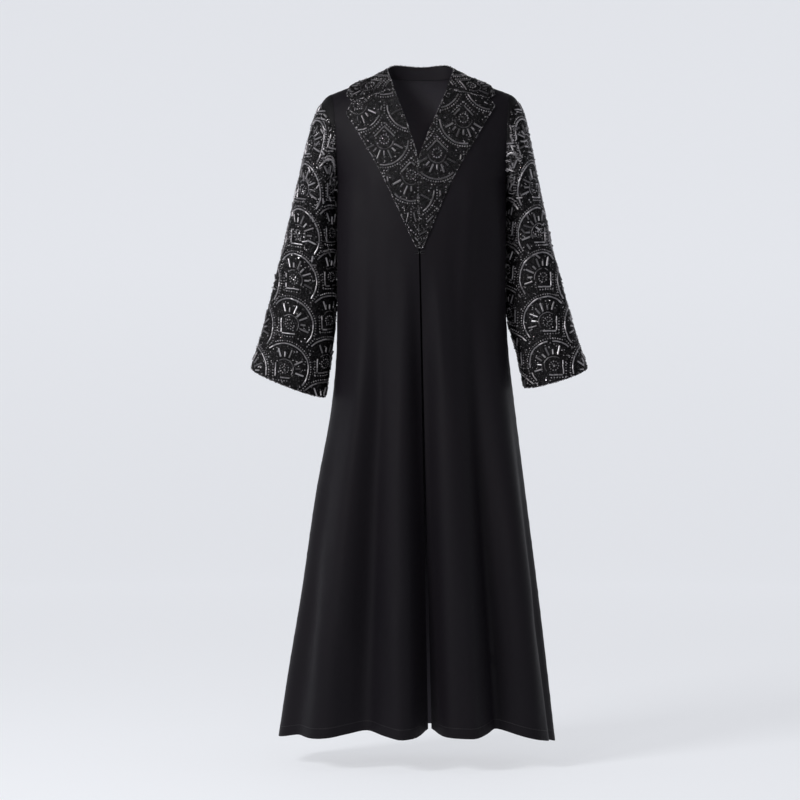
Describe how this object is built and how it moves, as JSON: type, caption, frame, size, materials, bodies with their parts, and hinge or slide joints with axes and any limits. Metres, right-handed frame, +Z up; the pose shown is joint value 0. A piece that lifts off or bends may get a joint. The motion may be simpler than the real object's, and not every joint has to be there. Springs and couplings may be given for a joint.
{
  "type": "abaya cloak",
  "caption": "Worn floor-length abaya in plain dark crepe, open down the front, with a bead-covered notched collar, lapels and flared sleeves.",
  "frame": {"origin": "midway between the two high shoulder points, where the shoulder seams meet the neck", "axes": "+Z up along the garment's length, -Y the way the wearer faces, +X the wearer's left"},
  "size_m": [0.7179, 0.3684, 1.4514],
  "materials": {
    "crepe": "smooth dark crepe with a soft satin sheen",
    "beaded_cloth": "black cloth covered in glossy bugle beads, seed beads and sequins",
    "wire": "black lacquered wire"
  },
  "bodies": {
    "root": {"front_left": "crepe", "front_right": "crepe", "back": "crepe", "sleeve_left": "beaded_cloth", "sleeve_right": "beaded_cloth", "lapel_left": "beaded_cloth", "lapel_right": "beaded_cloth", "collar": "beaded_cloth", "collar_stand": "crepe", "hook": "wire", "eye": "wire"}
  },
  "joints": []
}
